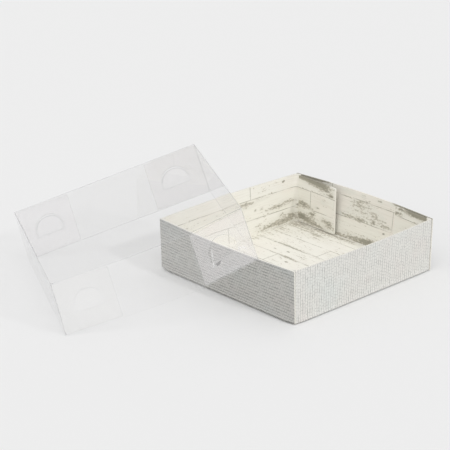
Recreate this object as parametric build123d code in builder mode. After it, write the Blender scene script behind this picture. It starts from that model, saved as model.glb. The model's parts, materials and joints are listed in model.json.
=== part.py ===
from build123d import *
import os
from math import asin, cos, degrees, radians, sin

os.makedirs("parts", exist_ok=True)

# A macaron box: a square tray folded from fine fluted board, and a clear folded lid.
# The lid is off: its left edge stands on the table and its right edge leans on the tray.
# Origin: centre of the tray's underside. +Z up, -Y the tray's front, +X its right.

# Tray sizes, in millimetres
box_side = 175.0  # outer side of the square tray
box_height = 50.0  # height of its walls
board = 1.5  # thickness of the fluted board over its ribs
rib_pitch = 2.8  # from one rib of the outer face to the next
rib_depth = 0.3  # how far a rib stands out of the board
glue_film = 0.25  # thickness of the glue between a corner tab and its wall
fold_share = 0.8  # how much of the board under its ribs a fold rounds off

# Tray corner tabs
front_tab_length = 45.0  # from the crease to the free edge
back_tab_length = 55.0
tab_rim_inset = 0.8  # below the rim, at the crease
tab_rim_taper = 2.6  # how much lower the free edge's top lies
tab_floor_gap = 0.6  # above the tray's floor, at the crease
tab_floor_taper = 3.0  # how much higher the free edge's foot lies
tab_corner_radius = 3.0
tab_lift = 2.0  # how far the one loose tab stands off its wall, at its free edge

# Glue pads under the corner tabs
glue_start = 7.0  # from the crease
glue_length = 22.0
glue_height = 26.0
glue_foot = 12.0  # above the tray's floor

# Lid sizes
sheet = 0.3  # thickness of the clear sheet
lid_fit = 0.8  # play between the tray and the lid, each side
lid_drop = 1.2  # how much taller the lid's walls are than the tray's
crease_gap = 0.2  # running gap where a lid wall folds
lid_fold_radius = 0.2  # outside radius of the two end folds
rim_corner_radius = 1.5  # lower corners of the front and back walls

# Lid corner tabs, on the inside of the front and back walls
lid_tab_length = 51.0
lid_tab_inset = 0.8
lid_tab_taper = 0.5
lid_tab_radius = 1.0

# Half-moon locks: a tongue of the front or back wall, bent in through the tab's slot
lock_inset = 27.0  # from the lid's corner to the tongue's middle
lock_width = 25.0
lock_straight = 6.0  # straight flank below the round end
lock_height = 18.5  # from the lid's rim to the tongue's crease
lock_gap = 0.3  # cutting gap round the tongue
lock_slot_gap = 0.7  # play round the tongue in the tab's slot
lock_bend = 7.0  # degrees that a closed tongue is bent in
relief_radius = 0.8  # round ends of the die cut, beside the tongue's crease

# How the lid leans on the tray
lean_turn = -28.2  # degrees that the lid is turned about +Z
lean_gap = 4.0  # from the tray's left wall out to the lid's front right corner
lean_inset = 39.7  # from the tray's front to that corner, along the left wall
rest_gap = 0.3  # clearance over the tray's rim

# Places that follow from the sizes
half_side = box_side / 2
inner_half = half_side - board
valley_half = half_side - rib_depth
fold_radius = fold_share * (board - rib_depth)
glued_half = inner_half - glue_film
lid_side = box_side + 2 * lid_fit
lid_height = box_height + lid_drop
tilt = asin((box_height + rest_gap) / (lid_side - sheet))
turn = radians(lean_turn)

# The lid's own directions: along to the right, across to the back, and up out of its top
lid_along = Vector(cos(turn) * cos(tilt), sin(turn) * cos(tilt), sin(tilt))
lid_across = Vector(-sin(turn), cos(turn), 0)
lid_up = lid_along.cross(lid_across)
lean_corner = Vector(-half_side - lean_gap, -half_side + lean_inset, lid_side * sin(tilt))
lid_origin = lean_corner - lid_along * lid_side


def lid_point(x, y, z):
    """A point given in the lid's own directions, from the outer rim corner on the table."""
    return lid_origin + lid_along * x + lid_across * y + lid_up * z


def finish(built, name):
    """Label a finished piece and write it to its own file."""
    built.part.label = name
    export_step(built.part, "parts/" + name + ".step")


def rib_line(first, last, outward):
    """Draw the ribs of the board's outer face as a row of arcs from one point to another."""
    run = last - first
    count = max(1, round(run.length / rib_pitch))
    for rib in range(count):
        start = first + run * (rib / count)
        end = first + run * ((rib + 1) / count)
        ThreePointArc(start, (start + end) / 2 + outward * rib_depth, end)


# Tray floor
with BuildPart() as base_bottom:
    with BuildSketch():
        Rectangle(2 * inner_half, 2 * inner_half)
    extrude(amount=board)
finish(base_bottom, "base_bottom")


# Left and right walls: the ribs run along them, so their section is drawn and extruded
def make_side_wall(side):
    section = Plane(origin=(0, 0, 0), x_dir=(side, 0, 0), z_dir=(0, -side, 0))
    fold_start = Vector(valley_half - fold_radius, 0)
    fold_end = Vector(valley_half, fold_radius)
    rim = Vector(valley_half, box_height)
    with BuildPart() as wall:
        with BuildSketch(section):
            with BuildLine():
                Line((inner_half, 0), fold_start)
                RadiusArc(fold_start, fold_end, -fold_radius)
                rib_line(fold_end, rim, Vector(1, 0))
                Polyline(rim, (inner_half, box_height), (inner_half, 0))
            make_face()
        extrude(amount=half_side, both=True)
    return wall


finish(make_side_wall(-1), "base_left_wall")
finish(make_side_wall(1), "base_right_wall")


# Front and back walls: the ribs stand upright, so their plan is drawn and extruded.
# Their sheet turns inwards at both ends, into the corner tabs. The fold at the foot
# presses the ribs flat.
def make_cross_wall(side):
    plan = Plane(origin=(0, 0, 0), x_dir=(side, 0, 0), z_dir=(0, 0, 1))
    section = Plane(origin=(0, 0, 0), x_dir=(0, side, 0), z_dir=(side, 0, 0))
    straight_half = glued_half - fold_radius
    bend_height = valley_half - fold_radius
    fold_left = Vector(-straight_half, valley_half)
    fold_right = Vector(straight_half, valley_half)
    with BuildPart() as wall:
        with BuildSketch(plan.offset(fold_radius)):
            with BuildLine():
                Line((-glued_half, inner_half), (-glued_half, bend_height))
                RadiusArc((-glued_half, bend_height), fold_left, fold_radius)
                rib_line(fold_left, fold_right, Vector(0, 1))
                RadiusArc(fold_right, (glued_half, bend_height), fold_radius)
                Polyline((glued_half, bend_height), (glued_half, inner_half), (-glued_half, inner_half))
            make_face()
        extrude(amount=box_height - fold_radius)
        with BuildSketch(section):
            with BuildLine():
                Line((inner_half, 0), (bend_height, 0))
                RadiusArc((bend_height, 0), (valley_half, fold_radius), -fold_radius)
                Polyline((valley_half, fold_radius), (inner_half, fold_radius), (inner_half, 0))
            make_face()
        extrude(amount=straight_half, both=True)
    return wall


finish(make_cross_wall(-1), "base_front_wall")
finish(make_cross_wall(1), "base_back_wall")


# Corner tabs: turned in from the front and back walls, against the left and right walls
def make_base_tab(side_x, side_y, length, lift):
    crease = side_y * inner_half
    free = side_y * (inner_half - length)
    face = side_x * glued_half
    back = side_x * (glued_half - board)
    shift = side_x * lift
    foot = board + tab_floor_gap
    top = box_height - tab_rim_inset
    with BuildPart() as tab:
        with BuildSketch():
            with BuildLine():
                Polyline(
                    (face, crease),
                    (face - shift, free),
                    (back - shift, free),
                    (back, crease),
                    close=True,
                )
            make_face()
        extrude(amount=box_height)
        with BuildSketch(Plane.YZ):
            with BuildLine():
                Polyline(
                    (crease, foot),
                    (free, foot + tab_floor_taper),
                    (free, top - tab_rim_taper),
                    (crease, top),
                    close=True,
                )
            make_face()
            fillet(vertices().group_by(Axis.X)[-1 if side_y < 0 else 0], tab_corner_radius)
        extrude(amount=box_side, both=True, mode=Mode.INTERSECT)
    return tab


# Glue pads: each fills the space between its tab and its wall
def make_glue(side_x, side_y, length, lift):
    start = glue_start
    end = glue_start + glue_length
    wall_face = side_x * inner_half
    with BuildPart() as glue:
        with BuildSketch(Plane.XY.offset(board + glue_foot)):
            with BuildLine():
                Polyline(
                    (wall_face, side_y * (inner_half - start)),
                    (wall_face, side_y * (inner_half - end)),
                    (side_x * (glued_half - lift * end / length), side_y * (inner_half - end)),
                    (side_x * (glued_half - lift * start / length), side_y * (inner_half - start)),
                    close=True,
                )
            make_face()
        extrude(amount=glue_height)
    return glue


for side_y, row, length in ((-1, "front", front_tab_length), (1, "back", back_tab_length)):
    for side_x, hand in ((-1, "left"), (1, "right")):
        lift = tab_lift if (row, hand) == ("back", "right") else 0
        finish(make_base_tab(side_x, side_y, length, lift), "base_tab_" + row + "_" + hand)
        finish(make_glue(side_x, side_y, length, lift), "glue_" + row + "_" + hand)


# Lid top
inner_start = sheet + crease_gap
inner_end = lid_side - inner_start
panel_depth = inner_end - inner_start
lid_middle = lid_side / 2

with BuildPart() as lid_top:
    with BuildSketch(Plane(lid_point(lid_middle, lid_middle, lid_height), x_dir=lid_along, z_dir=lid_up)):
        Rectangle(lid_side - 2 * sheet, panel_depth)
    extrude(amount=-sheet)
finish(lid_top, "lid_top")


# Lid end walls: the left one stands on the table, the right one leans on the tray
def make_lid_end(place, inward):
    plane = Plane(lid_point(place, lid_middle, 0), x_dir=lid_along * inward, z_dir=-lid_across * inward)
    fold_height = lid_height - lid_fold_radius
    with BuildPart() as wall:
        with BuildSketch(plane):
            with BuildLine():
                Polyline((lid_fold_radius, lid_height), (sheet, lid_height), (sheet, 0), (0, 0), (0, fold_height))
                RadiusArc((0, fold_height), (lid_fold_radius, lid_height), lid_fold_radius)
            make_face()
        extrude(amount=panel_depth / 2, both=True)
    return wall


finish(make_lid_end(0, 1), "lid_left_wall")
finish(make_lid_end(lid_side, -1), "lid_right_wall")


def tongue_outline(middle, foot, play):
    """The outline of a tongue, or of the cut round it: straight flanks under a half circle."""
    reach = lock_width / 2 + play
    shoulder = foot + lock_straight
    left = middle - reach
    right = middle + reach
    with BuildSketch() as outline:
        with BuildLine():
            Polyline((left, shoulder), (left, foot - play), (right, foot - play), (right, shoulder))
            ThreePointArc((right, shoulder), (middle, shoulder + reach), (left, shoulder))
        make_face()
    return outline.sketch


# Lid corner tabs, each with the slot that its tongue goes through
def make_lid_tab(end, inward_x, depth):
    plane = Plane(lid_point(end, depth, 0), x_dir=lid_along * inward_x, z_dir=-lid_across * inward_x)
    foot = lid_tab_inset
    top = lid_height - sheet - lid_tab_inset
    with BuildPart() as tab:
        with BuildSketch(plane):
            with BuildLine():
                Polyline(
                    (sheet, foot),
                    (lid_tab_length, foot + lid_tab_taper),
                    (lid_tab_length, top - lid_tab_taper),
                    (sheet, top),
                    close=True,
                )
            make_face()
            fillet(vertices().group_by(Axis.X)[-1], lid_tab_radius)
            add(tongue_outline(lock_inset, lock_height, lock_slot_gap), mode=Mode.SUBTRACT)
        extrude(amount=sheet / 2, both=True)
    return tab


# Front and back walls of the lid, cut round their tongues
def make_lid_flap(depth):
    plane = Plane(lid_point(0, depth, 0), x_dir=lid_along, z_dir=-lid_across)
    with BuildPart() as wall:
        with BuildSketch(plane):
            with Locations((lid_middle, lid_height / 2)):
                Rectangle(lid_side, lid_height)
            fillet(vertices().group_by(Axis.Y)[0], rim_corner_radius)
            for middle in (lock_inset, lid_side - lock_inset):
                add(tongue_outline(middle, lock_height, lock_gap), mode=Mode.SUBTRACT)
                for crease_end in (middle - lock_width / 2, middle + lock_width / 2):
                    with Locations((crease_end, lock_height)):
                        Circle(relief_radius, mode=Mode.SUBTRACT)
        extrude(amount=sheet / 2, both=True)
    return wall


# Tongues, bent in about the crease at their foot
def make_tongue(middle, depth, inward):
    bend = radians(lock_bend)
    normal = lid_up * sin(bend) * inward - lid_across * cos(bend)
    with BuildPart() as tongue:
        with BuildSketch(Plane(lid_point(middle, depth, lock_height), x_dir=lid_along, z_dir=normal)):
            add(tongue_outline(0, 0, 0))
        extrude(amount=sheet / 2, both=True)
    return tongue


for row, flap_depth, inward in (("front", sheet / 2, 1), ("back", lid_side - sheet / 2, -1)):
    tab_depth = flap_depth + inward * (sheet + crease_gap)
    finish(make_lid_flap(flap_depth), "lid_" + row + "_wall")
    for hand, end, inward_x in (("left", 0, 1), ("right", lid_side, -1)):
        finish(make_lid_tab(end, inward_x, tab_depth), "lid_tab_" + row + "_" + hand)
        finish(make_tongue(end + inward_x * lock_inset, flap_depth, inward), "lock_" + row + "_" + hand)

print("lid side", round(lid_side, 2), "height", round(lid_height, 2), "tilt", round(degrees(tilt), 3))
print("lid origin", [round(value, 3) for value in lid_origin])
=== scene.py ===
import json
import bpy
import numpy as np
from math import cos, pi, radians, sin
from mathutils import Matrix, Vector
from mathutils.geometry import delaunay_2d_cdt


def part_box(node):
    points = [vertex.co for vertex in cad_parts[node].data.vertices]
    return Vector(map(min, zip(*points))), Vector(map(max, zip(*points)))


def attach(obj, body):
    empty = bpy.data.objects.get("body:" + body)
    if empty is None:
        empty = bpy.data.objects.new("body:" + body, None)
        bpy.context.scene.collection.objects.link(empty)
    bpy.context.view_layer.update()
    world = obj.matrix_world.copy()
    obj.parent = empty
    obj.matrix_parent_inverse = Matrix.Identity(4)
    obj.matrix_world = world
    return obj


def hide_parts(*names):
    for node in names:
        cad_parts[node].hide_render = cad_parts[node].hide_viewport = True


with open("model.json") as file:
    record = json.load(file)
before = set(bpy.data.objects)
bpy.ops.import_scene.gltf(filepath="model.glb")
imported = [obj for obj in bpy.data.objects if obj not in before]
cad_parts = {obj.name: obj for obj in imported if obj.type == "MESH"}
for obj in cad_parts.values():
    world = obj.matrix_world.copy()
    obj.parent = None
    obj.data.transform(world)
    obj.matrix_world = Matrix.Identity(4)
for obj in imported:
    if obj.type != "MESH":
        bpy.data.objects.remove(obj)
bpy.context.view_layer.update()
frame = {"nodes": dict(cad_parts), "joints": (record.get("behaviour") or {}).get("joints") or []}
mm = 0.001
print("frame loaded:", len(frame["nodes"]), "nodes")

tiny = 1e-12  # keeps a division away from zero
batch = 64  # points of a loop that are compared at once

# The tray's sizes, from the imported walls
low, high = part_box("base_left_wall")
half = -low.x
wallHeight = high.z
board = high.x - low.x
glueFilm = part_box("base_tab_back_left")[0].x - high.x
innerHalf = half - board
tabHalf = innerHalf - glueFilm  # out to the face by which a corner tab is glued on

# The lid's place and directions, from its fold joints: x along, y across, z up out of its top
joints = {joint["name"]: joint for joint in frame["joints"]}
sheet = 0.3 * mm
inset = sheet + 0.2 * mm  # how far a panel of the lid stays behind the next one's outer face
lidX = Vector(joints["back_wall_fold"]["axis"]).normalized()
frontFold = Vector(joints["front_wall_fold"]["pos_m"])
backFold = Vector(joints["back_wall_fold"]["pos_m"])
lidY = (backFold - frontFold).normalized()
lidZ = lidX.cross(lidY)
lidSide = (backFold - frontFold).length + sheet
foldCorner = frontFold - lidX * lidSide / 2 - lidY * sheet / 2
lidHeight = foldCorner.z / lidZ.z
lidOrigin = foldCorner - lidZ * lidHeight


# Meshes from arrays

def addPiece(name, data):
    piece = bpy.data.objects.new(name, data)
    bpy.context.scene.collection.objects.link(piece)
    return piece


# Points (n,3), corners (m,k) of point numbers, uv per corner and a material number per face
def addMesh(name, points, corners, loopUv, slots, materials, smooth):
    mesh = bpy.data.meshes.new(name)
    count, sides = corners.shape
    mesh.vertices.add(len(points))
    mesh.vertices.foreach_set("co", np.ascontiguousarray(points, dtype=np.float32).ravel())
    mesh.loops.add(count * sides)
    mesh.loops.foreach_set("vertex_index", corners.astype(np.int32).ravel())
    mesh.polygons.add(count)
    mesh.polygons.foreach_set("loop_start", np.arange(0, count * sides, sides, dtype=np.int32))
    mesh.polygons.foreach_set("material_index", slots.astype(np.int32))
    mesh.polygons.foreach_set("use_smooth", np.full(count, smooth))
    uvLayer = mesh.uv_layers.new(name="UVMap")
    uvLayer.data.foreach_set("uv", np.ascontiguousarray(loopUv, dtype=np.float32).ravel())
    for material in materials:
        mesh.materials.append(material)
    mesh.update(calc_edges=True)
    mesh.validate()
    return addPiece(name, mesh)


# True where a ray from the point crosses the closed loop an odd number of times
def insideLoop(points, loop):
    x, y = points[:, 0][:, None], points[:, 1][:, None]
    ax, ay = loop[:, 0], loop[:, 1]
    bx, by = np.roll(ax, -1), np.roll(ay, -1)
    crosses = (ay > y) != (by > y)
    rise = np.where(by == ay, tiny, by - ay)
    return (crosses & (x < ax + (y - ay) * (bx - ax) / rise)).sum(1) % 2 == 1


# Distance from each point to the nearest edge of a closed loop: to the foot of its perpendicular,
# held between the edge's ends
def loopDistance(points, loop):
    run = np.roll(loop, -1, axis=0) - loop
    length = np.maximum((run * run).sum(1), tiny)
    best = np.full(len(points), np.inf)
    for step in range(0, len(loop), batch):
        part, edge = loop[step:step + batch], run[step:step + batch]
        offset = points[:, None] - part[None]
        share = np.clip((offset * edge[None]).sum(2) / length[step:step + batch], 0, 1)
        best = np.minimum(best, np.linalg.norm(offset - share[..., None] * edge[None], axis=2).min(1))
    return best


# The loop's points moved inward by the width, along the middle of the normals of their two edges.
# A hole's loop turns the other way, so its points move outward.
def insetLoop(loop, width):
    before = loop - np.roll(loop, 1, axis=0)
    after = np.roll(loop, -1, axis=0) - loop
    before = before / np.linalg.norm(before, axis=1)[:, None]
    after = after / np.linalg.norm(after, axis=1)[:, None]
    normals = np.stack([-before[:, 1] - after[:, 1], before[:, 0] + after[:, 0]], -1)
    size = np.linalg.norm(normals, axis=1)
    dots = np.clip((before * after).sum(1), -0.9, 1)
    return loop + normals / size[:, None] * (width / np.sqrt((1 + dots) / 2))[:, None]


def finishPiece(piece, node, body):
    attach(piece, body)
    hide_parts(node)


# Materials

def newTree(name):
    material = bpy.data.materials.new(name)
    material.use_nodes = True
    tree = material.node_tree
    return material, tree, tree.nodes["Principled BSDF"]


# What a node gives: adding, multiplying and the like add maths nodes to its tree
class Value:
    def __init__(self, socket):
        self.socket = socket
        self.tree = socket.id_data

    def __add__(self, other):
        return maths("ADD", self, other)

    def __sub__(self, other):
        return maths("SUBTRACT", self, other)

    def __rsub__(self, other):
        return maths("SUBTRACT", other, self)

    def __mul__(self, other):
        return maths("MULTIPLY", self, other)

    def __truediv__(self, other):
        return maths("DIVIDE", self, other)


def treeOf(values):
    return next(value.tree for value in values if isinstance(value, Value))


def valuesOf(node, *outputs):
    return [Value(node.outputs[output]) for output in outputs]


# A value is linked where it comes from another node, and set where it is a number
def putIn(socket, value):
    if isinstance(value, Value):
        value.tree.links.new(value.socket, socket)
    else:
        socket.default_value = value


def addNode(tree, kind, values=None, **settings):
    made = tree.nodes.new(kind)
    for key, value in settings.items():
        setattr(made, key, value)
    for key, value in (values or {}).items():
        putIn(made.inputs[key], value)
    return made


def addValue(tree, kind, values=None, output=0, **settings):
    return Value(addNode(tree, kind, values, **settings).outputs[output])


def maths(operation, *terms, clamp=False):
    values = dict(enumerate(terms))
    return addValue(treeOf(terms), "ShaderNodeMath", values, operation=operation, use_clamp=clamp)


# 0 below the first level, 1 above the second, and smooth between
def ramp(value, first, second):
    values = {"Value": value, "From Min": first, "From Max": second}
    return addValue(value.tree, "ShaderNodeMapRange", values, interpolation_type="SMOOTHSTEP")


# How far a repeating value is from the middle of its step: 0 there and 0.5 at the step's ends
def fromMiddle(value):
    return maths("ABSOLUTE", maths("FRACT", value) - 0.5)


def chanceOf(number):
    return addValue(number.tree, "ShaderNodeTexWhiteNoise", {"W": number}, noise_dimensions="1D")


def mixShader(share, first, second):
    return addValue(first.tree, "ShaderNodeMixShader", {"Fac": share, 1: first, 2: second})


# A colour of 0 to 255 as the screen shows it, as linear light
def linear(colour):
    parts = [part / 255 for part in colour]
    return [part / 12.92 if part <= 0.04045 else ((part + 0.055) / 1.055) ** 2.4 for part in parts] + [1]


def mixColour(share, first, second):
    ends = [linear(end) if isinstance(end, tuple) else end for end in (first, second)]
    values = {0: share, 6: ends[0], 7: ends[1]}
    return addValue(treeOf(values.values()), "ShaderNodeMix", values, 2, data_type="RGBA")


# Painted shade: the colour keeps only this share of its light
def paintedShade(colour, light):
    return mixColour(1 - light, colour, (0, 0, 0)) if light < 1 else colour


# The two lengths, in metres, that a board's UV map gives
def boardPlace(tree):
    uv = addValue(tree, "ShaderNodeUVMap", uv_map="UVMap")
    return valuesOf(addNode(tree, "ShaderNodeSeparateXYZ", {"Vector": uv}), 0, 1)


# A point for a texture, with its own scale along and across
def stretched(u, v, acrossU, acrossV, seed):
    return addValue(u.tree, "ShaderNodeCombineXYZ", {"X": u * acrossU, "Y": v * acrossV, "Z": seed})


def noise(u, v, acrossU, acrossV, seed, detail, rough):
    point = stretched(u, v, acrossU, acrossV, seed)
    values = {"Vector": point, "Scale": 1.0, "Detail": detail, "Roughness": rough}
    return addValue(u.tree, "ShaderNodeTexNoise", values)


def addBump(shader, height, look):
    values = {"Height": height, "Strength": look["bump"], "Distance": look["bumpHeight"]}
    putIn(shader.inputs["Normal"], addValue(height.tree, "ShaderNodeBump", values))


def setFinish(shader, colour, look):
    putIn(shader.inputs["Base Color"], colour)
    shader.inputs["Roughness"].default_value = look["roughness"]
    shader.inputs["Specular IOR Level"].default_value = look["specular"]


linen = {
    "pitch": 2.8 * mm,  # from rib to rib
    "cross": 3.0 * mm,  # from one cross thread to the next
    "light": (229, 228, 223),
    "dark": (163, 163, 159),
    "warm": (229, 225, 220),
    "cool": (226, 228, 224),
    "lines": 0.76,  # how dark the lines between the ribs are
    "threads": 0.52,  # and the cross threads
    "loose": 0.5,  # how far the threads of a rib slip from the regular step
    "speckle": 0.5,  # how far the flecks lighten and darken the board
    "speckleLevel": 0.4,
    "sidePaintedShade": 0.75,  # painted shade: the side walls' colour keeps this share of its light, for the shade of their level ribs
    "sidePaintedGrooveShade": 1.55,  # painted shade: their grooves and cross threads are drawn this much darker
    "crossGroove": 1.15,  # the grooves and cross threads on the front and back walls are drawn this much darker
    "bump": 0.35,
    "bumpHeight": 0.15 * mm,
    "slubHeight": 0.6,  # against the grooves and threads
    "roughness": 0.85,
    "specular": 0.25,
}
# Waves in a metre along and across the ribs, seed, detail and roughness
linenNoise = {
    "slub": (160, 900, 0.0, 3.0, 0.5),
    "fleck": (900, 900, 3.0, 2.0, 0.5),
    "drift": (22, 30, 7.0, 2.0, 0.5),
}
# Where each look starts and where it is full
linenLevels = {
    "groove": (0.22, 0.5),  # from the rib's crest, as a share of the pitch
    "thread": (0.30, 0.5),
    "slub": (0.32, 0.66),
    "fleck": (0.32, 0.68),
    "warm": (0.5, 0.75),
    "cool": (0.5, 0.25),
}


# Grey-white board: thin grey lines between the ribs, cross threads that step from rib to rib,
# both broken by noise, and slow drifts of warm and cool
# shade is painted shade, the share of its light that the whole colour keeps
def makeLinen(name, ribsAlongU, shade=1.0, grooving=1.0):
    material, tree, shader = newTree(name)
    u, v = boardPlace(tree)
    along, across = (u, v) if ribsAlongU else (v, u)
    slub, fleck, drift = (noise(along, across, *linenNoise[key]) for key in ("slub", "fleck", "drift"))

    def level(key, value):
        return ramp(value, *linenLevels[key])

    ribs = across / linen["pitch"]
    rib = maths("FLOOR", ribs)
    groove = level("groove", fromMiddle(ribs))
    step = maths("MODULO", rib, 2.0) * 0.5 + chanceOf(rib) * linen["loose"]
    thread = level("thread", fromMiddle(along / linen["cross"] + step))
    lineShare = groove * level("slub", slub) * (linen["lines"] * grooving)
    threadShare = thread * level("fleck", fleck) * (linen["threads"] * grooving)
    speckle = (fleck - linen["speckleLevel"]) * linen["speckle"]
    darkShare = maths("ADD", maths("MAXIMUM", lineShare, threadShare), speckle, clamp=True)
    base = mixColour(level("warm", drift), linen["light"], linen["warm"])
    base = mixColour(level("cool", drift), base, linen["cool"])
    setFinish(shader, paintedShade(mixColour(darkShare, base, linen["dark"]), shade), linen)
    addBump(shader, slub * linen["slubHeight"] - (groove + thread), linen)
    return material


planks = {
    "pitch": 20.0 * mm,  # from seam to seam
    "length": 190.0 * mm,
    "stagger": 0.58,  # how far the butt ends shift from plank to plank, as a share of the length
    "waver": 1.4 * mm,  # how far the seams wander
    "cream": (249, 247, 238),
    "white": (251, 250, 244),
    "rose": (248, 243, 234),
    "grain": (236, 232, 221),
    "used": (242, 240, 231),
    "wornLight": (208, 203, 190),
    "wornDark": (158, 154, 139),
    "seam": (146, 140, 123),
    "whiteShare": 0.6,
    "grainShare": 0.8,
    "wornShare": 0.95,
    "seamShare": 0.85,
    "wallPaintedShade": 0.955,  # painted shade: the walls' print keeps this share of the floor's light
    "knotsAlong": 60,  # chances of a knot in a metre
    "knotsAcross": 95,
    "knotRagged": 0.25,
    "bump": 0.12,
    "bumpHeight": 0.1 * mm,
    "roughness": 0.62,
    "specular": 0.35,
}
# Waves in a metre along and across the planks, seed, detail and roughness
plankNoise = {
    "wobble": (40, 6, 0.0, 3.0, 0.5),
    "uneven": (70, 30, 5.0, 3.0, 0.5),
    "tone": (18, 24, 2.0, 2.0, 0.5),
    "grain": (26, 900, 9.0, 4.0, 0.6),
    "streak": (60, 460, 4.0, 5.0, 0.62),
    "flake": (360, 600, 6.0, 5.0, 0.62),
    "patch": (30, 70, 8.0, 2.0, 0.5),
}
# How much each noise, the nearness of a seam and the painted wear add to the worn look
wornWeights = {"streak": 1.3, "flake": 1.5, "patch": 0.7, "seam": 0.10, "wear": 0.5}
# Where each look starts and where it is full
plankLevels = {
    "seam": (0.478, 0.494),
    "seamBreaks": (0.28, 0.62),
    "butt": (0.4972, 0.4995),
    "buttBreaks": (0.25, 0.6),
    "rose": (0.42, 0.62),
    "grain": (0.48, 0.72),
    "used": (0.0, 0.35),
    "bySeam": (0.36, 0.5),
    "worn": (0.26, 0.40),
    "wornDark": (0.38, 0.78),
    "knot": (0.15, 0.08),
    "knotPick": (0.72, 0.78),
}


# Weathered painted planks: planks along u, seams every pitch across v, butt ends staggered from
# plank to plank, long faint grain, small knots, and grey chips and streaks where two noises,
# patches, seams and the wear attribute together rise above a level
# shade is painted shade, the share of its light that the whole colour keeps
def makePlanks(name, shade=1.0):
    material, tree, shader = newTree(name)
    u, v = boardPlace(tree)
    parts = {key: noise(u, v, *values) for key, values in plankNoise.items()}
    wobble, streak, flake, patch = (parts[key] - 0.5 for key in ("wobble", "streak", "flake", "patch"))
    wear = addValue(tree, "ShaderNodeAttribute", output="Fac", attribute_name="wear")

    def level(key, value):
        return ramp(value, *plankLevels[key])

    rows = (v + wobble * planks["waver"]) / planks["pitch"]
    row = maths("FLOOR", rows)
    fromSeam = fromMiddle(rows)
    fromEnd = fromMiddle(u / planks["length"] + row * planks["stagger"])
    seam = level("seam", fromSeam) * level("seamBreaks", parts["uneven"])
    butt = level("butt", fromEnd) * level("buttBreaks", parts["uneven"])
    base = mixColour(level("rose", parts["tone"]), planks["cream"], planks["rose"])
    base = mixColour(chanceOf(row) * planks["whiteShare"], base, planks["white"])
    base = mixColour(level("grain", parts["grain"]) * planks["grainShare"], base, planks["grain"])
    base = mixColour(level("used", wear), base, planks["used"])
    height = streak * wornWeights["streak"] + flake * wornWeights["flake"] + patch * wornWeights["patch"]
    height = height + level("bySeam", fromSeam) * wornWeights["seam"] + wear * wornWeights["wear"]
    wornTone = mixColour(level("wornDark", height), planks["wornLight"], planks["wornDark"])
    colour = mixColour(level("worn", height) * planks["wornShare"], base, wornTone)
    spots = stretched(u, v, planks["knotsAlong"], planks["knotsAcross"], 1.0)
    knots = addNode(tree, "ShaderNodeTexVoronoi", {"Vector": spots, "Scale": 1.0})
    distance, hue = valuesOf(knots, "Distance", "Color")
    pick = addValue(tree, "ShaderNodeSeparateColor", {"Color": hue})
    knot = level("knot", distance + flake * planks["knotRagged"]) * level("knotPick", pick)
    drawn = maths("MAXIMUM", maths("MAXIMUM", seam, butt), knot, clamp=True)
    colour = mixColour(drawn * planks["seamShare"], colour, planks["seam"])
    setFinish(shader, paintedShade(colour, shade), planks)
    addBump(shader, parts["grain"], planks)
    return material


cutEdge = {
    "paper": (246, 244, 236),
    # shade is the darker tone of the fibre and the painted shade in the flute hollows
    "shade": (196, 193, 184),
    "fibre": (1500, 3000, 0.0, 3.0, 0.5),  # noise, as above
    "fibreShare": 0.2,
    # painted shade in the hollows beside the fluted sheet
    "hollowShadeShare": 0.55,
    "waveHeight": 0.27,  # of the fluted sheet, as a share of the board
    "waveLevels": (0.14, 0.24),  # from the fluted sheet to the hollow beside it
    "faceLevels": (0.42, 0.34),  # from the board's faces to the hollows
    "roughness": 0.9,
    "specular": 0.2,
}


# The cut edge of the board: paper fibre, and on a cut across the flutes the row of their ends,
# a sine wave between the two faces with painted shade in the hollows on both sides of it
def makeEdge(name, fluted):
    material, tree, shader = newTree(name)
    along, depth = boardPlace(tree)
    share = noise(along, depth, *cutEdge["fibre"]) * cutEdge["fibreShare"]
    if fluted:
        wave = maths("SINE", along * (2 * pi / linen["pitch"])) * cutEdge["waveHeight"]
        level = depth / board
        fromWave, fromFace = (maths("ABSOLUTE", level - middle) for middle in (wave + 0.5, 0.5))
        hollowShade = ramp(fromWave, *cutEdge["waveLevels"]) * ramp(fromFace, *cutEdge["faceLevels"])
        share = maths("ADD", share, hollowShade * cutEdge["hollowShadeShare"], clamp=True)
    setFinish(shader, mixColour(share, cutEdge["paper"], cutEdge["shade"]), cutEdge)
    return material


film = {
    "tint": (0.9955, 0.995, 0.9945, 1),
    "mirror": 0.06,  # share that one face mirrors head on
    "ripples": 22.0,  # in a metre
    "bump": 0.04,
    "bumpHeight": 6 * mm,
    "bend": 1.0003,  # a thin sheet hardly bends the light
    "lampLoss": 1.0,  # share of the mirrored part of a lamp's light that is lost below
}
# The looks of the sheet by the tone of its milky white, each with its share of it
filmShares = [
    # the bruised plastic of folds and cuts
    ((190, 190, 192), {"clearFilm": 0.0, "filmFold": 0.22, "filmCut": 0.10, "filmEnd": 0.28, "filmRim": 0.075,
                       "flapEnd": 0.08, "frontCut": 0.06, "frontEnd": 0.09,
                       "tongueFold": 0.30, "tongueCut": 0.26, "tongueEnd": 0.6}),
    # painted reflection: a milky veil on the front left tab and tongue, and on the others, for the light that
    # the overlapping layers of the sheet mirror
    ((243, 243, 236), {"frontTab": 0.04, "frontTongue": 0.03}),
    ((249, 244, 248), {"backTab": 0.11, "backTongue": 0.10, "pinchTongue": 0.08}),
    # painted shadow in the pinched place by the front right tongue, and painted highlights on its edge, on
    # the tongue and above the tray's rim
    ((60, 60, 60), {"paintedPinchShadow": 0.2}),
    ((252, 252, 252), {"paintedHighlight": 0.22}),
]
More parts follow.
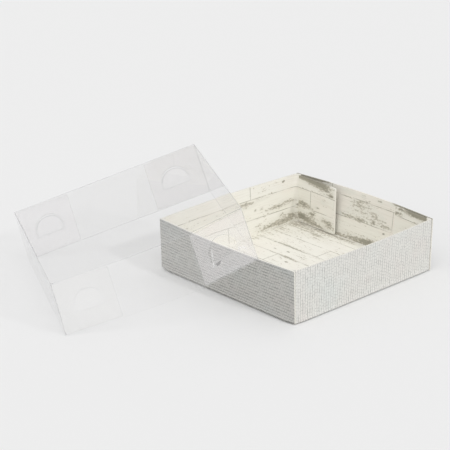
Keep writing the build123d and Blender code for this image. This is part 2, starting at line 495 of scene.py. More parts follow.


# Clear sheet: each face mirrors more the flatter it is looked at, by the fifth power, and lets the
# rest through unbent, with a share of a flat colour: milky white on folds and cuts, painted reflection
# on the tabs and tongues, and painted shadow and highlights on the marks. Light for the things behind it goes
# straight through.
def makeFilm(name, milk, tone):
    material, tree, shader = newTree(name)
    place = addValue(tree, "ShaderNodeTexCoord", output="Object")
    wave = addValue(tree, "ShaderNodeTexNoise", {"Vector": place, "Scale": film["ripples"], "Detail": 2.0})
    facing = addValue(tree, "ShaderNodeLayerWeight", {"Blend": 0.5}, "Facing")
    mirrored = maths("POWER", facing, 5.0) * (1 - film["mirror"]) + film["mirror"]
    unbent = {"Color": film["tint"], "Roughness": 0.0, "IOR": film["bend"]}
    through = addValue(tree, "ShaderNodeBsdfRefraction", unbent)
    gloss = addNode(tree, "ShaderNodeBsdfAnisotropic", {"Color": (1, 1, 1, 1), "Roughness": 0.0})
    addBump(gloss, wave, film)
    seen = mixShader(mirrored, through, Value(gloss.outputs[0]))
    if milk:
        white = addValue(tree, "ShaderNodeBsdfDiffuse", {"Color": linear(tone)})
        seen = mixShader(milk, seen, white)
    path = addNode(tree, "ShaderNodeLightPath")
    shadow, depth = valuesOf(path, "Is Shadow Ray", "Diffuse Depth")
    lost = shadow * (mirrored * film["lampLoss"])
    clear = addValue(tree, "ShaderNodeBsdfTransparent", {"Color": 1 - lost})
    whole = mixShader(maths("ADD", shadow, depth, clamp=True), seen, clear)
    putIn(tree.nodes["Material Output"].inputs["Surface"], whole)
    tree.nodes.remove(shader)
    return material


glue = {"dark": (222, 214, 194), "light": (236, 230, 214), "swirl": 220.0, "roughness": 0.6, "specular": 0.5}


# Dull white glue with a slow swirl
def makeGlue(name):
    material, tree, shader = newTree(name)
    place = addValue(tree, "ShaderNodeTexCoord", output="Object")
    swirl = addValue(tree, "ShaderNodeTexNoise", {"Vector": place, "Scale": glue["swirl"]})
    setFinish(shader, mixColour(swirl, glue["dark"], glue["light"]), glue)
    return material


plankPrint = makePlanks("plankPrint", planks["wallPaintedShade"])
edgeLooks = [makeEdge("edgePlain", False), makeEdge("edgeFluted", True)]
# The looks of the board's panels: outside, inside, at the foot and top, and at the ends
boardLooks = {
    "side": [makeLinen("linenAlong", True, linen["sidePaintedShade"], linen["sidePaintedGrooveShade"]), plankPrint, *edgeLooks],
    "cross": [makeLinen("linenAcross", False, grooving=linen["crossGroove"]), plankPrint, *edgeLooks[::-1]],
    "floor": [makeLinen("linenFloor", True), makePlanks("plankFloor"), *edgeLooks],
}
glueLook = makeGlue("glueLook")
films = {name: makeFilm(name, milk, tone) for tone, shares in filmShares for name, milk in shares.items()}
print("materials made")


# The tray

tray = {
    "ribDepth": 0.3 * mm,
    "ribCurve": 3.2,  # how fast a rib turns down to its grooves
    "ribGain": 1.6,  # and how much of its depth it then has
    "ribSamples": 8,  # grid lines over one rib
    "step": 1.5 * mm,  # other grid lines
    "fold": 1.0 * mm,  # rounding of the outside at a fold
    "crossDepth": 0.04 * mm,  # how deep the cross threads press in
    "innerWave": 0.03 * mm,  # how the flutes show through inside
    "floorWave": 0.08 * mm,  # and how the ribs show under the floor, where they are pressed flat
    "floorStep": 0.7 * mm,  # grid lines across the floor's ribs
    "floorLift": 1.3 * mm,  # how far the floor's underside rises at the walls
    "floorRise": 12 * mm,  # over this width
    "footReach": 5.0 * mm,  # how far up the lift of a wall's foot fades
    "footFade": 12.0 * mm,  # how far from the corners its crease swells
    "footLift": {"left": 1.8 * mm, "front": 0.8 * mm, "right": 0.4 * mm, "back": 0.4 * mm},
    "footOut": {"left": 1.9 * mm, "front": 1.2 * mm, "right": 0.4 * mm, "back": 0.4 * mm},
    "cornerRound": 4.5 * mm,  # rounding inside a tab's fold
    "crispAngle": 40,  # edges that turn more than these degrees stay crisp under smooth shading
    "wallWear": 0.02,  # wear of the print all over, before its worn places
    "floorWear": 0.16,
}
tab = {
    "taperFoot": 0.6 * mm,
    "taperTop": 0.1 * mm,
    "radius": 1.0 * mm,
    "step": 1.0 * mm,
    "roundLines": 9,  # grid lines over its rounding
    "straightShare": 0.55,  # of a loose tab's stand: the rest grows with the square of the length
    "looseFrom": 0.5 * mm,  # a tab that stands off more than this is loose
    "staysShare": 0.75,  # how much of its wall's bow a loose tab's free end doesn't follow
}
# How far each wall's top stands out of the square, and bows out more in its middle
tops = {
    "left": {"lean": 0.6 * mm, "bow": 3.8 * mm},
    "right": {"lean": 1.6 * mm, "bow": 5.4 * mm},
    "front": {"lean": 0.0 * mm, "bow": 2.8 * mm},
    "back": {"lean": 0.0 * mm, "bow": 3.8 * mm},
}
wallBandShare = 0.9  # of the half side: what lies further out moves with its wall in full
# Where each panel starts on the printed sheet, along and up
printPlace = {
    "left": (105.8 * mm, 198.0 * mm),
    "right": (105.8 * mm, 398.0 * mm),
    "front": (280.0 * mm, -0.8 * mm),
    "back": (480.0 * mm, 2.8 * mm),
    "floor": (980.0 * mm, 722.0 * mm),
}
# Worn places of the print: along, up, width, height in millimetres, and strength
wearSpots = {
    "left": [(30, 46, 30, 3, 0.6), (120, 20, 16, 5, 0.4), (70, 34, 16, 7, 0.5), (140, 3, 30, 3, 0.6)],
    "right": [
        (68, 47, 3, 2, 0.7), (90, 47, 3, 2, 0.6), (109, 47, 8, 2.5, 0.5), (96, 37.5, 8, 4, 0.75),
        (84, 34, 12, 6, 0.72), (70, 30, 9, 5, 0.7), (103, 29, 8, 3, 0.5), (92, 24, 7, 1.8, 0.9),
        (74, 25, 3.4, 1.8, 1.2), (60, 25, 9, 1.8, 0.9), (110, 24, 12, 1.8, 0.8), (84, 4, 14, 4, 1.1),
        (72, 5, 9, 3.5, 0.9), (108, 4, 20, 3, 0.7), (6, 50.5, 20, 3.2, 2.0), (30, 50.5, 14, 2.6, 1.7),
        (48, 50.5, 7, 2.0, 1.0), (170, 50.5, 16, 3.0, 2.0), (150, 50.5, 12, 3.0, 1.8),
        (137, 50.5, 8, 2.4, 1.1)],
    "front": [(60, 46, 26, 3, 0.5), (120, 12, 18, 4, 0.4), (30, 25, 14, 3, 0.5)],
    "back": [
        (8, 8, 12, 4.5, 1.2), (26, 5, 16, 4, 1.0), (44, 4, 10, 3, 0.6), (12, 24, 10, 2.4, 0.9),
        (28, 22, 12, 2.2, 0.8), (56, 35, 16, 2.0, 0.8), (68, 33.5, 8, 2.0, 0.8), (46, 25.5, 2.4, 1.4, 0.9),
        (54, 25.6, 2, 1.2, 0.8), (20, 13.3, 4, 1.4, 0.8), (51, 9, 3, 2, 0.6), (62, 31, 10, 2, 0.4),
        (100, 32, 20, 4, 0.4), (140, 15, 18, 4, 0.4)],
    "floor": [
        (150, 166, 30, 4.5, 0.75), (108, 168, 20, 4, 0.8), (140, 158, 24, 4, 0.42), (158, 146, 16, 7, 0.3),
        (125, 118.5, 24, 1.8, 0.7), (110, 98, 16, 1.8, 0.65), (168, 120, 6, 30, 0.45), (120, 150, 20, 3, 0.3),
        (80, 60, 26, 4, 0.5), (45, 90, 22, 4, 0.4), (70, 130, 20, 4, 0.35)],
    "tab": [(20, 47, 14, 3, 0.5), (35, 20, 10, 4, 0.5), (8, 6, 10, 4, 0.6)],
    "tab_front_right": [
        (6, 49.5, 16, 3.4, 2.0), (24, 49.5, 13, 3.2, 1.8), (39, 49, 2.4, 1.6, 1.2), (46, 49, 2.4, 1.6, 1.1),
        (40, 44.4, 5, 1.2, 1.1), (40, 42.4, 5, 1.0, 0.9), (44, 43.4, 1.4, 2, 1.0), (22, 30, 12, 4, 0.45)],
    "tab_back_right": [
        (8, 50, 16, 3.0, 2.0), (26, 48.4, 13, 4.4, 1.6), (40, 46.5, 9, 5.0, 1.5), (49, 40, 4, 2.4, 1.3),
        (6, 22, 9, 3.4, 0.95), (15, 19.5, 8, 2.2, 0.8), (30, 21.8, 2.6, 1.6, 1.1), (23, 12.6, 4, 2.6, 1.1),
        (40, 11, 5, 2.6, 1.1), (48, 8, 5, 3.6, 1.3), (7, 8, 8, 4.5, 1.2), (18, 5, 12, 4.0, 1.2),
        (30, 2, 10, 2.6, 0.9), (38, 30, 5, 3, 0.4)],
}
ribPitch = linen["pitch"]


def evenLines(length, spacing):
    return np.linspace(0, length, max(2, int(round(length / spacing)) + 1))


def ribLines(length):
    return np.linspace(0, length, round(length / ribPitch) * tray["ribSamples"] + 1)


# How far a round fold falls away, at this distance from its edge
def foldRound(distance, radius):
    near = np.clip(radius - distance, 0, radius)
    return radius - np.sqrt(radius * radius - near * near)


# Depth below the rib crests: each rib is a flat arc with sharp grooves beside it, and the cross
# threads are a cosine along it that changes side from rib to rib
def ribRelief(across, along, length):
    pitch = length / round(length / ribPitch)
    turn = across / pitch % 1 - 0.5
    crest = np.sqrt(np.clip(1 - tray["ribCurve"] * turn * turn, 0, 1))
    thread = np.cos(2 * pi * along / linen["cross"] + pi * np.floor(across / pitch))
    return tray["ribDepth"] * (1 - crest) * tray["ribGain"] + tray["crossDepth"] * (1 + thread)


# The board's thickness and the faint wave of the flutes inside, a cosine across them
def innerFace(across):
    return board + tray["innerWave"] * np.cos(2 * pi * across / ribPitch)


# Wear all over plus the soft spots, each a bell curve of its width and height
def wearOf(place, ground=tray["wallWear"]):
    def field(a, b):
        total = np.full(a.shape, ground)
        for spotA, spotB, width, height, strength in wearSpots[place]:
            away = ((a / mm - spotA) / width) ** 2 + ((b / mm - spotB) / height) ** 2
            total += strength * np.exp(-away)
        return total
    return field


# A closed board: its outer face lies outerDepth(a, b) and its inner face innerDepth(a, b) behind
# the plane that place(a, b, depth) gives, and four rim strips join the two grids. A printed rim
# carries the print on over the top edge, and flip turns the faces where place mirrors the panel.
def gridPanel(name, node, place, aLines, bLines, outerDepth, innerDepth, printStart, materials, wear,
              printTurn=1, printedRim=False, flip=False):
    a, b = np.meshgrid(aLines, bLines, indexing="ij")
    total = a.size
    points = np.concatenate([place(a, b, depth(a, b)).reshape(-1, 3) for depth in (outerDepth, innerDepth)])
    number = np.arange(total).reshape(a.shape)
    cell = np.stack([number[:-1, :-1], number[1:, :-1], number[1:, 1:], number[:-1, 1:]], -1).reshape(-1, 4)
    uv = np.stack([a * printTurn, b], -1).reshape(-1, 2) + printStart

    def strip(edge, along):
        quads = np.stack([edge[:-1], edge[:-1] + total, edge[1:] + total, edge[1:]], -1)
        first, last = along[:-1], along[1:]
        flat, deep = np.zeros(len(first)), np.full(len(first), board)
        return quads, np.stack([first, flat, first, deep, last, deep, last, flat], -1).reshape(-1, 4, 2)

    bottom = strip(number[:, 0], aLines)
    top = strip(number[::-1, -1], aLines[::-1])
    left = strip(number[0, ::-1], bLines[::-1])
    right = strip(number[-1, :], bLines)
    if printedRim:
        top[1][..., 0] = top[1][..., 0] * printTurn + printStart[0]
        top[1][..., 1] = bLines[-1] + board - top[1][..., 1] + printStart[1]
    corners = np.concatenate([cell, cell[:, ::-1] + total, bottom[0], top[0], left[0], right[0]])
    loopUv = np.concatenate([uv[cell], uv[cell[:, ::-1]], bottom[1], top[1], left[1], right[1]])
    slots = np.repeat([0, 1, 2, 1 if printedRim else 2, 3, 3],
                      [len(part) for part in (cell, cell, bottom[0], top[0], left[0], right[0])])
    piece = addMesh(name, points, corners, loopUv, slots, materials, True)
    values = np.tile(wear(a, b).ravel(), 2).astype(np.float32)
    piece.data.attributes.new("wear", "FLOAT", "POINT").data.foreach_set("value", values)
    piece.data.set_sharp_from_angle(angle=radians(tray["crispAngle"]))
    if flip:
        piece.data.flip_normals()
    finishPiece(piece, node, "tray")


# Points of the tray with the tops of its walls out: by the share of the height, times the lean
# plus the bow that fades as a cosine to the corners. A tab follows its side wall by its share.
def opened(points, follow=1.0):
    out = points.copy()
    up = np.clip((points[..., 2] - board) / (wallHeight - board), 0, 1)
    for axis, names in ((0, ("left", "right")), (1, ("front", "back"))):
        across, along = points[..., axis], points[..., 1 - axis]
        bowed = np.clip(np.cos(pi * along / (2 * half)), 0, 1)
        for name, side in zip(names, (-1, 1)):
            near = np.clip(side * across / (wallBandShare * half), 0, 1)
            moved = side * near * up * (tops[name]["lean"] + tops[name]["bow"] * bowed)
            out[..., axis] += moved * (follow if axis == 0 else 1.0)
    return out


# Points of a wall: along it, up, and in from its outer face. Its foot is lifted a little, and the
# outside of its crease swells outwards, but not at the corners.
def wallPlace(corner, alongWall, outward, name):
    start, direction, normal = (np.array(vector) for vector in (corner, alongWall, outward))
    lift, swell = tray["footLift"][name], tray["footOut"][name]

    def place(a, b, depth):
        point = start + a[..., None] * direction - depth[..., None] * normal
        foot = np.clip(1 - b / tray["footReach"], 0, 1)
        point[..., 2] += b + lift * foot
        fromCorner = np.clip(np.minimum(a, 2 * half - a) / tray["footFade"], 0, 1)
        point += (swell * foot * fromCorner * np.clip(1 - depth / board, 0, 1))[..., None] * normal
        return opened(point)
    return place


# Left or right wall: the ribs lie along it
def makeSideWall(side):
    name = "right" if side > 0 else "left"
    place = wallPlace((side * half, -side * half, 0), (0, side, 0), (side, 0, 0), name)

    def outer(a, b):
        return np.maximum(ribRelief(b, a, wallHeight), foldRound(b, tray["fold"]))

    def inner(a, b):
        return innerFace(b)

    aLines, bLines = evenLines(2 * half, tray["step"]), ribLines(wallHeight)
    gridPanel("tray_" + name + "_wall", "base_" + name + "_wall", place, aLines, bLines, outer, inner,
              printPlace[name], boardLooks["side"], wearOf(name), printedRim=side > 0)


# Front or back wall: the ribs stand upright, and the sheet turns in at both ends
def makeCrossWall(side):
    name = "back" if side > 0 else "front"
    place = wallPlace((side * tabHalf, side * half, 0), (-side, 0, 0), (0, side, 0), name)
    length = 2 * tabHalf

    def outer(a, b):
        ends = foldRound(np.minimum(a, length - a), tray["fold"])
        return np.maximum(ribRelief(a, b, length), np.maximum(ends, foldRound(b, tray["fold"])))

    def inner(a, b):
        fromTab = np.minimum(a, length - a) - board
        return board + foldRound(np.clip(fromTab, 0, None), tray["cornerRound"])

    aLines, bLines = ribLines(length), evenLines(wallHeight, tray["step"] / 2)
    gridPanel("tray_" + name + "_wall", "base_" + name + "_wall", place, aLines, bLines, outer, inner,
              printPlace[name], boardLooks["cross"], wearOf(name))


# The floor, its planks running to the back above. Below, a cosine gives its flat ribs, and its rim
# rises evenly to the walls.
def makeFloor():
    length = 2 * innerHalf

    def place(a, b, depth):
        return np.stack([b - innerHalf, a - innerHalf, depth], -1)

    def outer(a, b):
        fromWall = np.minimum(np.minimum(a, length - a), np.minimum(b, length - b))
        ribs = tray["floorWave"] * (1 + np.cos(2 * pi * b / ribPitch))
        return ribs + tray["floorLift"] * np.clip(1 - fromWall / tray["floorRise"], 0, 1)

    def inner(a, b):
        return innerFace(b)

    aLines, bLines = evenLines(length, tray["step"]), evenLines(length, tray["floorStep"])
    gridPanel("tray_floor", "base_bottom", place, aLines, bLines, outer, inner, printPlace["floor"],
              boardLooks["floor"], wearOf("floor", tray["floorWear"]))


# A corner tab, turned in from the front or back wall: tapered, with round free corners. A loose one
# stands off its wall, more and more to its free end.
def makeTab(sideX, sideY):
    row = "back" if sideY > 0 else "front"
    name = "tab_" + row + ("_right" if sideX > 0 else "_left")
    lowest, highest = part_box("base_" + name)
    length = highest.y - lowest.y
    lift = highest.x - lowest.x - board
    printTurn = -sideX * sideY
    startAlong, startUp = printPlace[row]
    if printTurn > 0:
        startAlong += 2 * tabHalf

    def place(a, b, depth):
        share = np.clip(a / length, 0, 1)
        lowEdge = lowest.z + tab["taperFoot"] * share + foldRound(length - a, tab["radius"])
        topEdge = highest.z - tab["taperTop"] * share - foldRound(length - a, tab["radius"])
        stand = lift * share * (tab["straightShare"] + (1 - tab["straightShare"]) * share)
        x = sideX * (tabHalf - stand - depth)
        follow = 1 - tab["staysShare"] * share if lift > tab["looseFrom"] else 1.0
        flat = np.stack([x, sideY * (innerHalf - a), lowEdge + (topEdge - lowEdge) * b / wallHeight], -1)
        return opened(flat, follow)

    def outer(a, b):
        return np.zeros(a.shape)

    def inner(a, b):
        return innerFace(a)

    straight = evenLines(length - tab["radius"], tab["step"])
    rounded = length - tab["radius"] + tab["radius"] * np.sin(np.linspace(0, pi / 2, tab["roundLines"]))[1:]
    aLines, bLines = np.concatenate([straight, rounded]), evenLines(wallHeight, tab["step"])
    wear = wearOf(name if name in wearSpots else "tab")
    gridPanel("tray_" + name, "base_" + name, place, aLines, bLines, outer, inner, (startAlong, startUp),
              boardLooks["cross"], wear, printTurn, sideX > 0, printTurn > 0)


# A glue pad: its solid, moved with the wall that it is on
def makeGluePad(node):
    solid = frame["nodes"][node]
    mesh = bpy.data.meshes.new("tray_" + node)
    places = np.array([tuple(solid.matrix_world @ vertex.co) for vertex in solid.data.vertices])
    mesh.from_pydata(opened(places).tolist(), [], [tuple(face.vertices) for face in solid.data.polygons])
    mesh.materials.append(glueLook)
    finishPiece(addPiece("tray_" + node, mesh), node, "tray")


for side in (-1, 1):
    makeSideWall(side)
    makeCrossWall(side)
    for sideY in (-1, 1):
        makeTab(side, sideY)
makeFloor()
for node in ("glue_front_left", "glue_front_right", "glue_back_left", "glue_back_right"):
    makeGluePad(node)
print("tray made")


# The lid

lid = {
    "spacing": 3.0 * mm,  # triangles of the sheet
    "clearShare": 0.6,  # of the spacing: no inner point lies nearer to an edge
    "bandShare": 0.75,  # of a band's width: triangles whose middle is within it are in the band
    "merge": 1e-7,  # points nearer than this are one
    "cornerPoints": 7,
    "tabLength": 51.0 * mm,
    "tabInset": 0.8 * mm,
    "tabTaper": 0.5 * mm,
    "tabRadius": 1.0 * mm,
    "cornerRadius": 1.5 * mm,
    "creaseBand": 0.6 * mm,  # width of the grey line along a fold
    "cutBand": 0.15 * mm,  # and along a cut
    "foldReach": 1.0 * mm,  # an edge this near to a fold's line is a fold
    # How the thin sheet gives way where it leans: the front wall bulges at its right tab's free edge,
    # and the left wall turns a little and spreads at the back, where it stands on the table
    "bulgeTop": 2.0 * mm,
    "bulgeFoot": 5.0 * mm,
    "dip": 3.5 * mm,
    "dipReach": 60 * mm,
    "turn": 7.0 * mm,
    "spread": 3.8 * mm,
}
lock = {
    "width": 25.0 * mm,
    "straight": 6.0 * mm,
    "gap": 0.3 * mm,
    "slotGap": 0.4 * mm,
    "bend": radians(7.0),
    "rim": 0.7 * mm,  # width of the grey ring round a back lock
    "arcPoints": 24,
}
# Painted light on the front wall: a painted shadow in the pinched place at the front right tongue, a painted
# highlight on its edge, painted glints above the tray's rim and a painted highlight on the tongue. Corners in
# millimetres along and up the wall, the last along and up the tongue
paintedLightMarks = {
    "shadow": [(139.4, 15.4), (140.8, 12.9), (143.4, 13.2), (145.7, 16.2)],
    "flash": [(136.6, 13.4), (137.9, 13.2), (139.0, 17.6), (137.8, 17.6)],
    "glint": [(160.7, 19.7), (164.0, 20.0), (168.7, 17.4), (170.2, 14.1), (167.6, 16.5), (164.0, 18.6)],
    "glintLow": [(158.1, 23.8), (161.2, 21.4), (164.4, 16.5), (163.3, 16.4), (160.0, 20.5)],
    "tongueFlash": [(-11.6, 0.8), (-10.4, 0.8), (-8.4, 10.5), (-9.4, 10.5)],
}
# The looks of each panel: its own, along a fold, along a cut, on the sheet's edge, and then its marks
sheetLooks = ["clearFilm", "filmFold", "filmCut", "filmEnd"]
flapLooks = {
    "front": ["clearFilm", "filmFold", "clearFilm", "flapEnd", "paintedPinchShadow", "paintedHighlight"],
    "back": sheetLooks + ["filmRim"],
}
backTabLooks = ["backTab", "filmFold", "filmCut", "filmEnd", "filmRim"]
tabLooks = {
    "front_left": ["frontTab", "filmFold", "frontCut", "frontEnd"],
    "front_right": backTabLooks,
    "back_left": backTabLooks,
    "back_right": backTabLooks,
}
backTongueLooks = ["backTongue", "tongueFold", "tongueCut", "tongueEnd"]
tongueLooks = {
    "front_left": ["frontTongue", "filmFold", "frontCut", "frontEnd"],
    "front_right": ["pinchTongue", "filmFold", "filmCut", "filmEnd", "paintedPinchShadow", "paintedHighlight"],
    "back_left": backTongueLooks,
    "back_right": backTongueLooks,
}


# A point of the frame in the lid's own directions
def lidLocal(point):
    offset = Vector(point) - lidOrigin
    return offset.dot(lidX), offset.dot(lidY), offset.dot(lidZ)


# How far each place of the sheet lies from the flat folded lid, in the lid's own directions. It rises
# as a sine to the tab's free edge and falls straight from there, and fades as a bell curve to the back.
def lidBend(local):
    x, y, z = local[:, 0], local[:, 1], local[:, 2]
    peak = lidSide - lid["tabLength"]
    rise = np.clip(np.where(x < peak, x / peak, (lidSide - x) / lid["tabLength"]), 0, 1)
    rise = np.where(x < peak, np.sin(rise * pi / 2), rise) * np.exp(-(y / lid["dipReach"]) ** 2)
    up = np.clip(z / lidHeight, 0, 1)
    bent = np.zeros_like(local)
    bent[:, 1] -= rise * (lid["bulgeFoot"] + (lid["bulgeTop"] - lid["bulgeFoot"]) * up)
    bent[:, 2] -= rise * lid["dip"]
    return bent


# How far the left end moves along the table: nothing at the front foot, out at the back foot,
# and in by the spread at the top, fading towards the right end
def leftWallMove(local):
    x, y, z = local[:, 0], local[:, 1], local[:, 2]
    fade = np.clip(1 - x / lidSide, 0, 1)
    return fade * (lid["spread"] * z / lidHeight - lid["turn"] * y / lidSide)


# Points in the lid's own directions, bent and placed in the frame
def toFrame(*columns):
    local = np.column_stack(columns)
    axes = np.array([lidX, lidY, lidZ])
    level = np.array([lidX.x, lidX.y, 0]) / np.hypot(lidX.x, lidX.y)
    return np.array(lidOrigin) + (local + lidBend(local)) @ axes + leftWallMove(local)[:, None] * level


# Corners joined by straight runs with points at most one spacing apart
def polyline(points):
    made = []
    for start, end in zip(points, points[1:] + points[:1]):
        start, end = np.array(start), np.array(end)
        steps = max(1, int(np.ceil(np.linalg.norm(end - start) / lid["spacing"])))
        made += [start + (end - start) * step / steps for step in range(steps)]
    return np.array(made)


# A closed outline with each corner rounded by its own radius, or sharp where that is 0: an arc about
# the point on the corner's middle line that is one radius from both its edges
def roundedLoop(points, radii):
    made = []
    count = len(points)
    for index, radius in enumerate(radii):
        corner = np.array(points[index])
        if radius == 0:
            made.append(tuple(corner))
            continue
        before = np.array(points[index - 1]) - corner
        after = np.array(points[(index + 1) % count]) - corner
        before, after = before / np.linalg.norm(before), after / np.linalg.norm(after)
        opening = np.arccos(np.clip(before @ after, -1, 1))
        reach = radius / np.tan(opening / 2)
        centre = corner + (before + after) / np.linalg.norm(before + after) * radius / np.sin(opening / 2)
        first, last = corner + before * reach - centre, corner + after * reach - centre
        startAngle = np.arctan2(first[1], first[0])
        turn = (np.arctan2(last[1], last[0]) - startAngle + pi) % (2 * pi) - pi
        angles = startAngle + turn * np.linspace(0, 1, lid["cornerPoints"])
        made += [tuple(centre + radius * np.array([cos(angle), sin(angle)])) for angle in angles]
    return polyline(made)


# A tongue's outline, or the cut round it: straight flanks under a half circle
def tongueLoop(middle, foot, play):
    reach = lock["width"] / 2 + play
    angles = np.linspace(0, pi, lock["arcPoints"] + 1)
    arch = np.stack([middle + reach * np.cos(angles), foot + lock["straight"] + reach * np.sin(angles)], -1)
    loop = np.concatenate([arch, [(middle - reach, foot - play), (middle + reach, foot - play)]])
    return loop[::-1] if play else loop


# A closed thin sheet: the outline with its holes is filled with triangles on a fine grid, placed
# twice, half a thickness to each side, and joined by strips round every edge. A narrow band along
# an edge gets the second look where folds(x, y) says it is a fold, the third along a cut, and the
# edge itself the fourth. Marks are small loops with a look of their own, and flip turns the faces.
def sheetPanel(name, node, body, outline, place, looks, folds, holes=(), marks=(), flip=False):
    loops = [outline, *holes]
    drawn = loops + [loop for loop, slot in marks]
    widths = [lid["creaseBand"]] + [lid["cutBand"]] * len(holes)
    edges, start = [], 0
    for loop in drawn:
        index = np.arange(len(loop)) + start
        edges += np.stack([index, np.roll(index, -1)], -1).tolist()
        start += len(loop)

    def inside(points):
        keep = insideLoop(points, outline)
        for hole in holes:
            keep &= ~insideLoop(points, hole)
        return keep

    spacing = lid["spacing"]
    least, most = outline.min(0) + spacing / 2, outline.max(0)
    grid = np.meshgrid(*(np.arange(*ends, spacing) for ends in zip(least, most)), indexing="ij")
    inner = np.stack([line.ravel() for line in grid], -1)
    fixed = np.concatenate(drawn)
    near = np.full(len(inner), np.inf)
    for step in range(0, len(fixed), batch):
        gaps = np.linalg.norm(inner[:, None] - fixed[None, step:step + batch], axis=2)
        near = np.minimum(near, gaps.min(1))
    inner = inner[inside(inner) & (near > spacing * lid["clearShare"])]
    bands = [insetLoop(loop, width) for loop, width in zip(loops, widths)]
    flat = [Vector(point) for point in np.concatenate([fixed, inner, *bands])]
    made = delaunay_2d_cdt(flat, edges, [], 0, lid["merge"])
    verts, tris = np.array([tuple(vert) for vert in made[0]]), np.array(made[2])
    tris = tris[inside(verts[tris].mean(1))]
    turn = np.cross(verts[tris[:, 1]] - verts[tris[:, 0]], verts[tris[:, 2]] - verts[tris[:, 0]])
    tris[turn < 0] = tris[turn < 0][:, ::-1]
    used, tris = np.unique(tris, return_inverse=True)
    tris, verts = tris.reshape(-1, 3), verts[used]
    total = len(verts)
    # An edge that no neighbour has the other way round is on the border
    sides = np.concatenate([tris[:, [0, 1]], tris[:, [1, 2]], tris[:, [2, 0]]])
    border = sides[~np.isin(sides[:, 0] * total + sides[:, 1], sides[:, 1] * total + sides[:, 0])]
    first, second = border[:, 0], border[:, 1]
    rim = np.concatenate([np.stack([second, first, first + total], -1),
                          np.stack([second, first + total, second + total], -1)])
    corners = np.concatenate([tris, tris[:, ::-1] + total, rim])
    points = np.concatenate([place(verts, sheet / 2), place(verts, -sheet / 2)])
    middles = verts[tris].mean(1)
    band = np.zeros(len(tris), dtype=bool)
    for loop, width in zip(loops, widths):
        band |= loopDistance(middles, loop) < width * lid["bandShare"]
    slots = np.where(band, np.where(folds(middles[:, 0], middles[:, 1]), 1, 2), 0)
    for loop, slot in marks:
        slots[insideLoop(middles, loop)] = slot
    slots = np.concatenate([slots, slots, np.full(len(rim), 3)])
    piece = addMesh(name, points, corners, np.tile(verts, (2, 1))[corners], slots,
                    [films[look] for look in looks], False)
    if flip:
        piece.data.flip_normals()
    finishPiece(piece, node, body)


# The lid's top, with a fold along the left end and the front
def makeTop():
    front, back = inset, lidSide - inset
    outline = polyline([(sheet, front), (lidSide - sheet, front), (lidSide - sheet, back), (sheet, back)])

    def place(flat, offset):
        return toFrame(flat, np.full(len(flat), lidHeight - sheet / 2 + offset))

    def folds(x, y):
        return (x < 2 * lid["foldReach"]) | (y < 2 * lid["foldReach"])

    sheetPanel("lid_top_sheet", "lid_top", "lid", outline, place, sheetLooks, folds)


# An end wall of the lid, with folds along its front edge and, on the left one, its top
def makeEnd(name, end, inward):
    front, back = inset, lidSide - inset
    outline = polyline([(front, 0), (back, 0), (back, lidHeight), (front, lidHeight)])

    def place(flat, offset):
        return toFrame(np.full(len(flat), end + inward * (sheet / 2 + offset)), flat)

    def folds(across, up):
        return ((up > lidHeight - lid["foldReach"]) & (inward > 0)) | (across < front + lid["foldReach"])

    part = "lid_" + name
    sheetPanel(part + "_sheet", part + "_wall", "lid", outline, place, sheetLooks, folds, flip=inward < 0)


# The front or back wall, with the cuts round its tongues
def makeFlap(name, depth, inward, tongues):
    radius = lid["cornerRadius"]
    corners = [(0, 0), (lidSide, 0), (lidSide, lidHeight), (0, lidHeight)]
    outline = roundedLoop(corners, [radius, radius, 0, 0])
    holes = [tongueLoop(x, z, lock["gap"]) for x, z in tongues]
    if name == "front":
        # the pinch's painted shadow, and the painted highlights and glints
        slots = {"shadow": 4, "flash": 5, "glint": 5, "glintLow": 5}
        marks = [(np.array(paintedLightMarks[key]) * mm, slot) for key, slot in slots.items()]
    else:
        marks = [(tongueLoop(x, z, lock["gap"] + lock["rim"]), 4) for x, z in tongues]

    def place(flat, offset):
        return toFrame(flat[:, 0], np.full(len(flat), depth - offset * inward), flat[:, 1])

    def folds(x, z):
        return (z > lidHeight - lid["foldReach"]) & (inward > 0)

    part = "lid_" + name
    sheetPanel(part + "_sheet", part + "_wall", part + "_flap", outline, place, flapLooks[name], folds,
               holes, marks, inward < 0)


# A corner tab of the lid, with the slot that the tongue goes through
def makeLidTab(name, end, inwardX, depth, inwardY, lockPlace):
    foot, top = lid["tabInset"], lidHeight - sheet - lid["tabInset"]
    length, taper, radius = lid["tabLength"], lid["tabTaper"], lid["tabRadius"]
    outline = roundedLoop([(sheet, foot), (length, foot + taper), (length, top - taper), (sheet, top)],
                          [0, radius, radius, 0])
    hole = tongueLoop(*lockPlace, lock["slotGap"])
    marks = [] if inwardY > 0 else [(tongueLoop(*lockPlace, lock["slotGap"] + lock["rim"]), 4)]

    def place(flat, offset):
        return toFrame(end + inwardX * flat[:, 0], np.full(len(flat), depth - offset * inwardY), flat[:, 1])

    def folds(x, z):
        return (x < sheet + lid["foldReach"]) & (inwardY > 0)

    part = "lid_tab_" + name
    sheetPanel(part + "_sheet", part, "lid", outline, place, tabLooks[name], folds, [hole], marks,
               inwardX * inwardY < 0)


# A half-moon tongue, turned in about its foot by the bend
def makeTongue(name, middle, depth, foot, inward):
    bendSin, bendCos = sin(lock["bend"]), cos(lock["bend"])
    # a painted highlight on the front right tongue's flank
    marks = [(np.array(paintedLightMarks["tongueFlash"]) * mm, 5)] if name == "front_right" else []

    def place(flat, offset):
        up = flat[:, 1]
        return toFrame(middle + flat[:, 0], depth + inward * (up * bendSin - offset * bendCos),
                       foot + up * bendCos + offset * bendSin)

    def folds(x, z):
        return z < lid["foldReach"]

    sheetPanel("lock_" + name + "_sheet", "lock_" + name, "tongue_" + name, tongueLoop(0, 0, 0), place,
               tongueLooks[name], folds, marks=marks, flip=inward < 0)


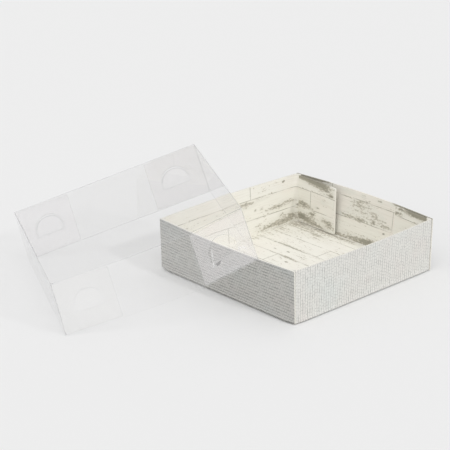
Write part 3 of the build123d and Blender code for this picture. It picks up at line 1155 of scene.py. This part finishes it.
makeTop()
makeEnd("left", 0, 1)
makeEnd("right", lidSide, -1)
for row, flapDepth, inward in (("front", sheet / 2, 1), ("back", lidSide - sheet / 2, -1)):
    tabDepth = flapDepth + inward * inset
    tongues = []
    for hand, end, inwardX in (("left", 0, 1), ("right", lidSide, -1)):
        name = row + "_" + hand
        lockX, lockY, lockZ = lidLocal(joints["tongue_" + name + "_bend"]["pos_m"])
        tongues.append((lockX, lockZ))
        makeLidTab(name, end, inwardX, tabDepth, inward, (abs(lockX - end), lockZ))
        makeTongue(name, lockX, lockY, lockZ, inward)
    makeFlap(row, flapDepth, inward, tongues)
print("lid made")


# Table, light and camera

table = {"colour": (239, 239, 239), "reach": 12.0, "roughness": 1.0, "specular": 0.0}
studio = {
    "backdrop": (237, 237, 237),
    "world": 0.73,
    # What the clear sheet mirrors: low down, high up, and more from the front
    "mirrorLow": 0.85,
    "mirrorHigh": 0.60,
    "mirrorFront": 0.3,
    "highLevels": (0.0, 0.7),
    "frontLevels": (0.0, -0.8),
    "lamps": [
        # name, irradiance, softness in degrees, direction it comes from
        ("keyLight", 0.556, 4, (0.10, -0.82, 0.563)),
        ("broadLight", 0.55, 50, (-0.34, -0.36, 0.869)),
    ],
}
view = {
    "lens": 135.07,
    "sensor": 36.0,
    "roll": -0.01626,
    "place": (-5.7532, -5.8419, 3.4651),  # in sides of the tray
    "target": (0.1662, 0.7350, 0.0),
    "farthest": 100.0,
}


def makeStage():
    reach = table["reach"]
    mesh = bpy.data.meshes.new("table")
    corners = [(-reach, -reach, 0), (reach, -reach, 0), (reach, reach, 0), (-reach, reach, 0)]
    mesh.from_pydata(corners, [], [(0, 1, 2, 3)])
    material, tree, shader = newTree("table")
    setFinish(shader, linear(table["colour"]), table)
    mesh.materials.append(material)
    addPiece("table", mesh)


# Even light all round, a plain backdrop seen directly, a softer one for the sheet to mirror, and the lamps
def makeLight():
    scene = bpy.context.scene
    scene.world = bpy.data.worlds.new("studio")
    scene.world.use_nodes = True
    tree = scene.world.node_tree
    bounces, mirrors = valuesOf(addNode(tree, "ShaderNodeLightPath"), "Diffuse Depth", "Glossy Depth")
    direct = maths("LESS_THAN", bounces, 0.5)
    mirrored = maths("GREATER_THAN", mirrors, 0.5)
    direction = addValue(tree, "ShaderNodeTexCoord", output="Generated")
    back, up = valuesOf(addNode(tree, "ShaderNodeSeparateXYZ", {"Vector": direction}), 1, 2)
    high = ramp(up, *studio["highLevels"]) * (studio["mirrorHigh"] - studio["mirrorLow"])
    front = ramp(back, *studio["frontLevels"]) * studio["mirrorFront"]
    shine = high + studio["mirrorLow"] + front
    seen = mirrored * shine + (1 - mirrored) * linear(studio["backdrop"])[0]
    plain = tree.nodes["Background"]
    plain.inputs["Color"].default_value = (1, 1, 1, 1)
    putIn(plain.inputs["Strength"], direct * seen + (1 - direct) * studio["world"])
    for name, power, softness, place in studio["lamps"]:
        sun = bpy.data.lights.new(name, "SUN")
        sun.energy = power
        sun.angle = radians(softness)
        addPiece(name, sun).rotation_euler = Vector(place).to_track_quat("Z", "Y").to_euler()
    scene.view_settings.view_transform = "Standard"


# The camera stands where the tray's corners in the photograph put it, with its small roll
def makeCamera():
    side = 2 * half
    place = Vector(view["place"]) * side
    forward = (Vector(view["target"]) * side - place).normalized()
    right = forward.cross(Vector((0, 0, 1))).normalized()
    up = right.cross(forward)
    rollCos, rollSin = cos(view["roll"]), sin(view["roll"])
    data = bpy.data.cameras.new("photoCamera")
    data.lens = view["lens"]
    data.sensor_width = view["sensor"]
    data.clip_end = view["farthest"]
    camera = addPiece("photoCamera", data)
    turned = right * rollCos + up * rollSin, up * rollCos - right * rollSin
    axes = Matrix((*turned, -forward)).transposed()
    camera.matrix_world = Matrix.Translation(place) @ axes.to_4x4()
    bpy.context.scene.camera = camera


makeStage()
makeLight()
makeCamera()
print("studio made")
